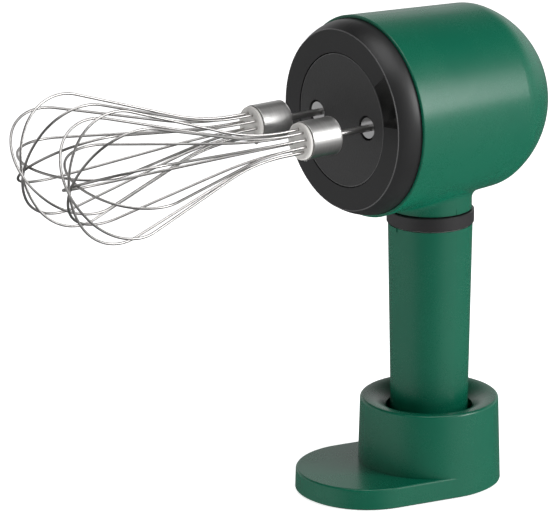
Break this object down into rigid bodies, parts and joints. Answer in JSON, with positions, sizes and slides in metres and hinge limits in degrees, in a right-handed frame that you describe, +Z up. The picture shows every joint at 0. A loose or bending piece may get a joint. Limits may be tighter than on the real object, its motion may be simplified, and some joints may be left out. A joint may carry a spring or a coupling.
{
  "type": "hand mixer",
  "caption": "Cordless hand mixer with balloon wire whisks geared together in a round head, a turning speed ring and a slim handle parked upright in a footed stand.",
  "frame": {"origin": "on the stand's underside, under the handle's axis", "axes": "+Z up along the handle, -Y the way the whisks point, +X to the right when the sockets face the viewer"},
  "size_m": [0.0866, 0.2478, 0.2092],
  "materials": {
    "green_shell": "satin emerald",
    "black_cap": "satin black",
    "ring_plastic": "satin dark grey",
    "plate_grey": "matte dark grey",
    "window_gloss": "smoked gloss",
    "base_plastic": "moulded",
    "rubber_pad": "matte",
    "socket_chrome": "polished",
    "stem_steel": "polished dark",
    "ferrule_steel": "satin",
    "wire_steel": "polished",
    "core_white": "moulded",
    "gear_nylon": "natural nylon",
    "gearbox_nylon": "glass-filled nylon",
    "spring_steel": "plain",
    "fastener_steel": "zinc plated",
    "shaft_steel": "ground",
    "motor_steel": "plated",
    "motor_plastic": "moulded",
    "bronze": "sintered",
    "copper": "enamelled",
    "magnet": "sintered ferrite",
    "carbon": "pressed carbon",
    "circuit_board": "solder mask",
    "battery_wrap": "shrink wrap",
    "washer_white": "low-friction film"
  },
  "bodies": {
    "stand": {"stand_shell": "green_shell", "stand_base_cover": "base_plastic", "stand_pad": "rubber_pad", "stand_screws": "fastener_steel"},
    "mixer": {"handle_sleeve": "green_shell", "handle_end_cap": "green_shell", "end_cap_screws": "fastener_steel", "battery_cell": "battery_wrap", "battery_contacts": "spring_steel", "battery_holder": "base_plastic", "charge_board": "circuit_board", "charge_port": "motor_steel", "friction_washer": "washer_white", "sensor_board": "circuit_board", "head_shell": "green_shell", "front_cap": "black_cap", "face_plate": "plate_grey", "indicator_window": "window_gloss", "indicator_board": "circuit_board", "gearbox_front": "gearbox_nylon", "gearbox_rear": "gearbox_nylon", "gearbox_screws": "fastener_steel", "cap_screws": "fastener_steel", "spindle_bushes": "bronze", "idler_axle": "shaft_steel", "motor_can": "motor_steel", "motor_magnets": "magnet", "motor_end_cap": "motor_plastic", "motor_bushes": "bronze", "motor_brushes": "carbon", "motor_screws": "fastener_steel", "control_board": "circuit_board"},
    "speed_ring": {"speed_ring": "ring_plastic", "ring_magnet": "magnet"},
    "spindle_left": {"spindle_left": "socket_chrome", "drive_gear_left": "gear_nylon", "socket_clip_left": "spring_steel"},
    "spindle_right": {"spindle_right": "socket_chrome", "drive_gear_right": "gear_nylon", "socket_clip_right": "spring_steel"},
    "idler": {"idler_gear": "gear_nylon"},
    "rotor": {"motor_shaft": "shaft_steel", "motor_pinion": "shaft_steel", "armature_core": "motor_steel", "armature_windings": "copper", "commutator": "copper"},
    "whisk_left": {"whisk_stem_left": "stem_steel", "whisk_ferrule_left": "ferrule_steel", "whisk_core_left": "core_white", "whisk_wires_left": "wire_steel", "whisk_pin_left": "ferrule_steel"},
    "whisk_right": {"whisk_stem_right": "stem_steel", "whisk_ferrule_right": "ferrule_steel", "whisk_core_right": "core_white", "whisk_wires_right": "wire_steel", "whisk_pin_right": "ferrule_steel"}
  },
  "joints": [
    {"name": "mixer_lift", "type": "slide", "parent": "stand", "child": "mixer", "axis": [0, 0, 1], "range_m": [0, 0.04]},
    {"name": "speed_select", "type": "hinge", "parent": "mixer", "child": "speed_ring", "pos_m": [0, 0, 0.118], "axis": [0, 0, 1], "range_deg": [0, 90]},
    {"name": "spindle_left_spin", "type": "hinge", "parent": "mixer", "child": "spindle_left", "pos_m": [-0.0168, -0.0478, 0.1666], "axis": [0, -1, 0], "continuous": true},
    {"name": "spindle_right_spin", "type": "hinge", "parent": "mixer", "child": "spindle_right", "pos_m": [0.0168, -0.0478, 0.1666], "axis": [0, -1, 0], "continuous": true},
    {"name": "idler_spin", "type": "hinge", "parent": "mixer", "child": "idler", "pos_m": [-0.00354, -0.0478, 0.18466], "axis": [0, -1, 0], "continuous": true},
    {"name": "rotor_spin", "type": "hinge", "parent": "mixer", "child": "rotor", "pos_m": [0, -0.0478, 0.1666], "axis": [0, -1, 0], "continuous": true},
    {"name": "whisk_left_pull", "type": "slide", "parent": "spindle_left", "child": "whisk_left", "axis": [0, -1, 0], "range_m": [0, 0.006]},
    {"name": "whisk_right_pull", "type": "slide", "parent": "spindle_right", "child": "whisk_right", "axis": [0, -1, 0], "range_m": [0, 0.006]}
  ],
  "couplings": [
    {"joint": "spindle_right_spin", "follows": "spindle_left_spin", "ratio": -1},
    {"joint": "idler_spin", "follows": "spindle_left_spin", "ratio": -3},
    {"joint": "rotor_spin", "follows": "spindle_left_spin", "ratio": 10.8}
  ]
}
